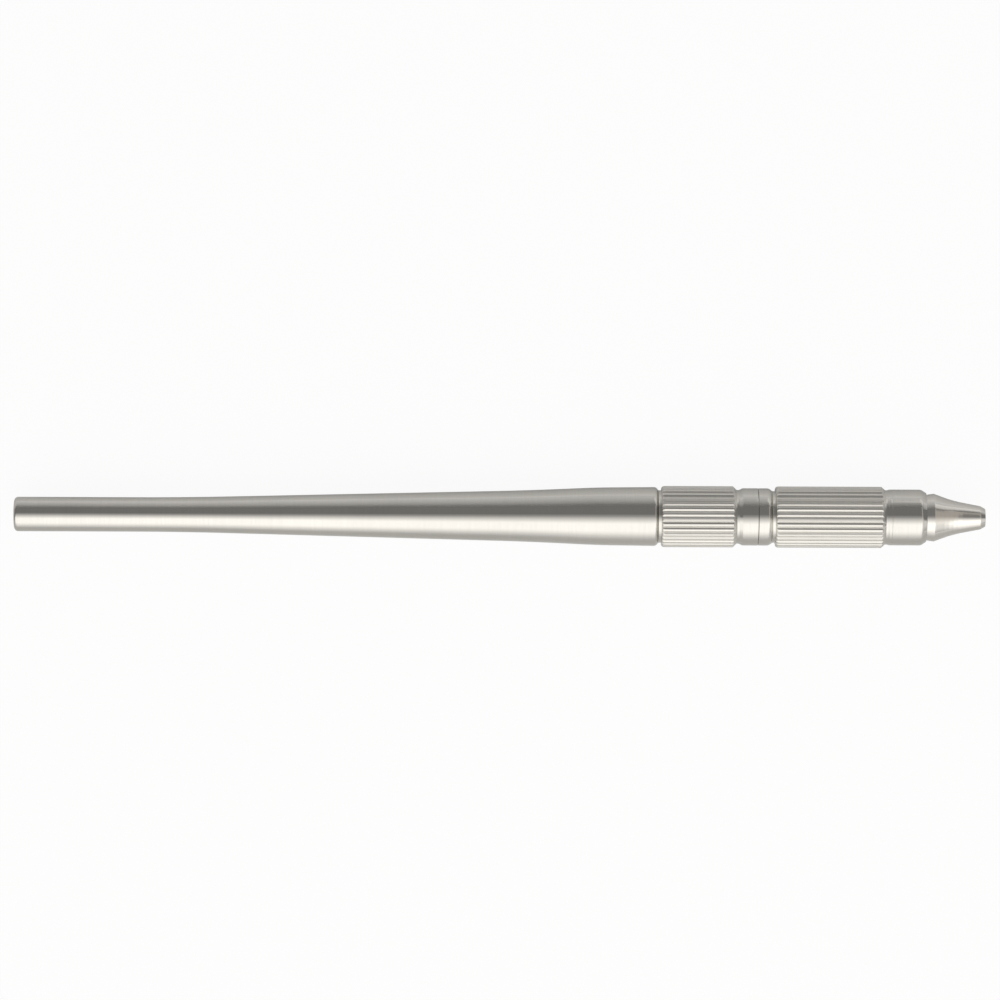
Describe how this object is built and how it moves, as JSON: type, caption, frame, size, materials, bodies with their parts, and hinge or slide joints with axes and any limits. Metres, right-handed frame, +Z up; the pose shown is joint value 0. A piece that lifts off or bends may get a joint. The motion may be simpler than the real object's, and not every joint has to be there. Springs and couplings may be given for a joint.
{
  "type": "scalpel handle",
  "caption": "Slender round steel handle for miniature surgical blades: tapered body, fluted grip, turning clamp sleeve and slit nose that grips the blade.",
  "frame": {"origin": "centre of the flat tail end face, on the handle's axis", "axes": "+X along the axis from the tail to the nose; +Z up as it lies; the jaws' slit lies in the XY plane"},
  "size_m": [0.15, 0.0094, 0.0094],
  "materials": {
    "satin_steel": "satin stainless steel, fine turning marks round the axis",
    "nose_steel": "bright turned stainless steel",
    "pin_steel": "ground hardened steel",
    "spring_steel": "drawn spring wire"
  },
  "bodies": {
    "handle": {"handle_body": "satin_steel", "retaining_ring": "spring_steel"},
    "sleeve": {"clamping_sleeve": "satin_steel", "key_pin": "pin_steel"},
    "jaws": {"collet": "nose_steel"}
  },
  "joints": [
    {"name": "sleeve_turn", "type": "hinge", "parent": "handle", "child": "sleeve", "pos_m": [0.1149, 0, 0], "axis": [1, 0, 0], "range_deg": [0, 450]},
    {"name": "collet_slide", "type": "slide", "parent": "sleeve", "child": "jaws", "axis": [1, 0, 0], "range_m": [0, 0.0009]}
  ],
  "couplings": [
    {"joint": "collet_slide", "follows": "sleeve_turn", "m_per_rad": 0.00011141}
  ]
}
